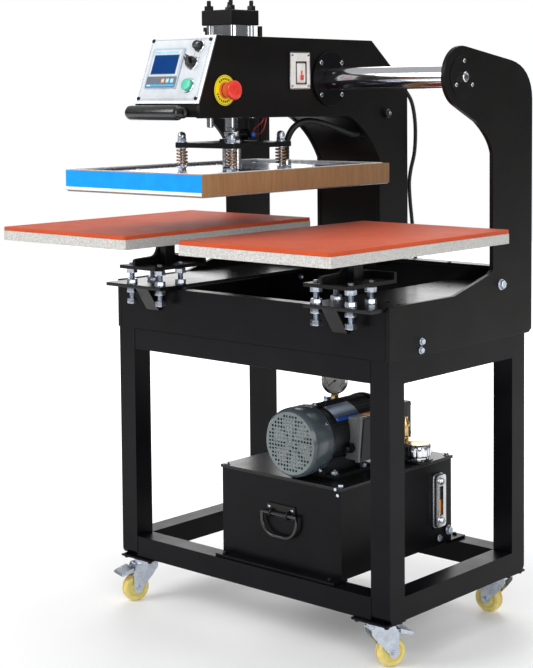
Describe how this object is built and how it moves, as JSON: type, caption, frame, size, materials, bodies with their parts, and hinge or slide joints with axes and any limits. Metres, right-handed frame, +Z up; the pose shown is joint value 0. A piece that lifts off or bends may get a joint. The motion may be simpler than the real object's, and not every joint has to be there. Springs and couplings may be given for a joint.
{
  "type": "heat press",
  "caption": "Cart-mounted hydraulic heat press: a head on a round guide shaft slides between two silicone-topped platens and lowers a heated platen.",
  "frame": {"origin": "on the floor, under the middle of the machine's bounding box", "axes": "+Z up, +X to the operator's right along the guide shaft, +Y away from the operator"},
  "size_m": [0.956, 0.856, 1.4],
  "materials": {
    "frame_paint": "satin black powder coat",
    "plate_paint": "fine-textured satin black powder coat",
    "black_steel": "black oxide, semi-gloss",
    "chrome": "hard chrome, polished",
    "steel": "brushed",
    "zinc": "bright zinc plate",
    "platen_aluminium": "as-cast, fine grain",
    "heater_aluminium": "mill sheet",
    "silicone": "matt silicone foam",
    "heater_tape": "glass-cloth tape over insulation",
    "blue_enamel": "gloss",
    "motor_paint": "satin enamel",
    "panel_face": "printed polyester overlay",
    "screen_glass": "gloss display window",
    "red_plastic": "moulded",
    "green_plastic": "moulded",
    "yellow_plastic": "moulded",
    "white_plastic": "moulded",
    "black_plastic": "moulded",
    "caster_tyre": "cast polyurethane",
    "copper_spring": "yellow-passivated spring wire",
    "brass": "turned",
    "black_rubber": "corrugated sleeve",
    "red_wire": "silicone insulation"
  },
  "bodies": {
    "cart": {"left_leg_frame": "frame_paint", "right_leg_frame": "frame_paint", "front_lower_rail": "frame_paint", "rear_lower_rail": "frame_paint", "front_upper_rail": "frame_paint", "rear_upper_rail": "frame_paint", "front_apron": "frame_paint", "rear_apron": "frame_paint", "left_side_plate": "plate_paint", "right_side_plate": "plate_paint", "left_tray": "plate_paint", "right_tray": "plate_paint", "guide_shaft": "chrome", "oil_tank": "frame_paint", "tank_lid": "frame_paint", "pump_motor": "motor_paint", "fan_cover": "motor_paint", "valve_block": "black_steel", "pressure_gauge": "steel", "level_gauge": "zinc", "left_platen_bracket": "frame_paint", "right_platen_bracket": "frame_paint", "left_platen": "platen_aluminium", "right_platen": "platen_aluminium", "left_pad": "silicone", "right_pad": "silicone", "supply_hose": "black_rubber"},
    "head": {"head_left_plate": "plate_paint", "head_right_plate": "plate_paint", "head_cover": "plate_paint", "control_panel": "panel_face", "push_handle": "black_plastic", "shaft_bearing": "black_steel", "cylinder": "black_steel", "heater_conduit": "black_rubber"},
    "press_platen": {"piston_rod": "chrome", "hanger_plate": "black_steel", "heater_plate": "heater_aluminium", "heater_cover": "heater_tape", "spring_bolt_front_left": "zinc", "spring_bolt_front_right": "zinc", "spring_bolt_rear_left": "zinc", "spring_bolt_rear_right": "zinc"},
    "emergency_stop": {"emergency_button": "red_plastic"},
    "start": {"start_button": "green_plastic"},
    "selector": {"selector_knob": "black_plastic"},
    "timer": {"timer_knob": "black_plastic"},
    "power": {"power_switch": "black_plastic"},
    "tank_drop_handle": {"tank_handle": "black_steel"},
    "breather_cap": {"filler_cap": "chrome"},
    "swivel_front_left": {"caster_fork_front_left": "zinc"},
    "swivel_front_right": {"caster_fork_front_right": "zinc"},
    "swivel_rear_left": {"caster_fork_rear_left": "zinc"},
    "swivel_rear_right": {"caster_fork_rear_right": "zinc"},
    "wheel_front_left": {"caster_wheel_front_left": "caster_tyre"},
    "wheel_front_right": {"caster_wheel_front_right": "caster_tyre"},
    "wheel_rear_left": {"caster_wheel_rear_left": "caster_tyre"},
    "wheel_rear_right": {"caster_wheel_rear_right": "caster_tyre"},
    "pedal_front_left": {"brake_pedal_front_left": "zinc"},
    "pedal_front_right": {"brake_pedal_front_right": "zinc"}
  },
  "joints": [
    {"name": "head_slide", "type": "slide", "parent": "cart", "child": "head", "axis": [1, 0, 0], "range_m": [-0.2164, 0.3396], "deforming": ["supply_hose"]},
    {"name": "press_stroke", "type": "slide", "parent": "head", "child": "press_platen", "axis": [0, 0, -1], "range_m": [0, 0.0865], "deforming": ["heater_conduit"]},
    {"name": "emergency_push", "type": "slide", "parent": "head", "child": "emergency_stop", "axis": [-1, 0, 0], "range_m": [0, 0.006], "stiffness_N_per_m": 600},
    {"name": "start_push", "type": "slide", "parent": "head", "child": "start", "axis": [0, 0.932, -0.3625], "range_m": [0, 0.0042], "stiffness_N_per_m": 500},
    {"name": "selector_turn", "type": "hinge", "parent": "head", "child": "selector", "pos_m": [-0.0126, -0.26917, 1.25981], "axis": [0, 0.932, -0.3625], "range_deg": [0, 70]},
    {"name": "timer_turn", "type": "hinge", "parent": "head", "child": "timer", "pos_m": [-0.0036, -0.25576, 1.2943], "axis": [0, 0.932, -0.3625], "range_deg": [-150, 150]},
    {"name": "power_rock", "type": "hinge", "parent": "head", "child": "power", "pos_m": [0.03315, 0.01775, 1.24], "axis": [0, 1, 0], "range_deg": [-10, 10]},
    {"name": "tank_handle_swing", "type": "hinge", "parent": "cart", "child": "tank_drop_handle", "pos_m": [0.078, -0.11225, 0.277], "axis": [-1, 0, 0], "range_deg": [0, 100]},
    {"name": "cap_turn", "type": "hinge", "parent": "cart", "child": "breather_cap", "pos_m": [0.222, 0.20025, 0.38], "axis": [0, 0, 1], "range_deg": [0, 30]},
    {"name": "swivel_front_left", "type": "hinge", "parent": "cart", "child": "swivel_front_left", "pos_m": [-0.35, -0.10975, 0.1], "axis": [0, 0, 1], "continuous": true},
    {"name": "swivel_front_right", "type": "hinge", "parent": "cart", "child": "swivel_front_right", "pos_m": [0.35, -0.10975, 0.1], "axis": [0, 0, 1], "continuous": true},
    {"name": "swivel_rear_left", "type": "hinge", "parent": "cart", "child": "swivel_rear_left", "pos_m": [-0.35, 0.34025, 0.1], "axis": [0, 0, 1], "continuous": true},
    {"name": "swivel_rear_right", "type": "hinge", "parent": "cart", "child": "swivel_rear_right", "pos_m": [0.35, 0.34025, 0.1], "axis": [0, 0, 1], "continuous": true},
    {"name": "spin_front_left", "type": "hinge", "parent": "swivel_front_left", "child": "wheel_front_left", "pos_m": [-0.35834, -0.13543, 0.032], "axis": [0.9511, -0.309, 0], "continuous": true},
    {"name": "spin_front_right", "type": "hinge", "parent": "swivel_front_right", "child": "wheel_front_right", "pos_m": [0.36141, -0.08528, 0.032], "axis": [-0.9063, 0.4226, 0], "continuous": true},
    {"name": "spin_rear_left", "type": "hinge", "parent": "swivel_rear_left", "child": "wheel_rear_left", "pos_m": [-0.32662, 0.32675, 0.032], "axis": [0.5, 0.866, 0], "continuous": true},
    {"name": "spin_rear_right", "type": "hinge", "parent": "swivel_rear_right", "child": "wheel_rear_right", "pos_m": [0.32307, 0.33837, 0.032], "axis": [0.0698, -0.9976, 0], "continuous": true},
    {"name": "brake_front_left", "type": "hinge", "parent": "swivel_front_left", "child": "pedal_front_left", "pos_m": [-0.3602, -0.14114, 0.08], "axis": [0.9511, -0.309, 0], "range_deg": [0, 12]},
    {"name": "brake_front_right", "type": "hinge", "parent": "swivel_front_right", "child": "pedal_front_right", "pos_m": [0.36395, -0.07984, 0.08], "axis": [-0.9063, 0.4226, 0], "range_deg": [0, 12]}
  ]
}
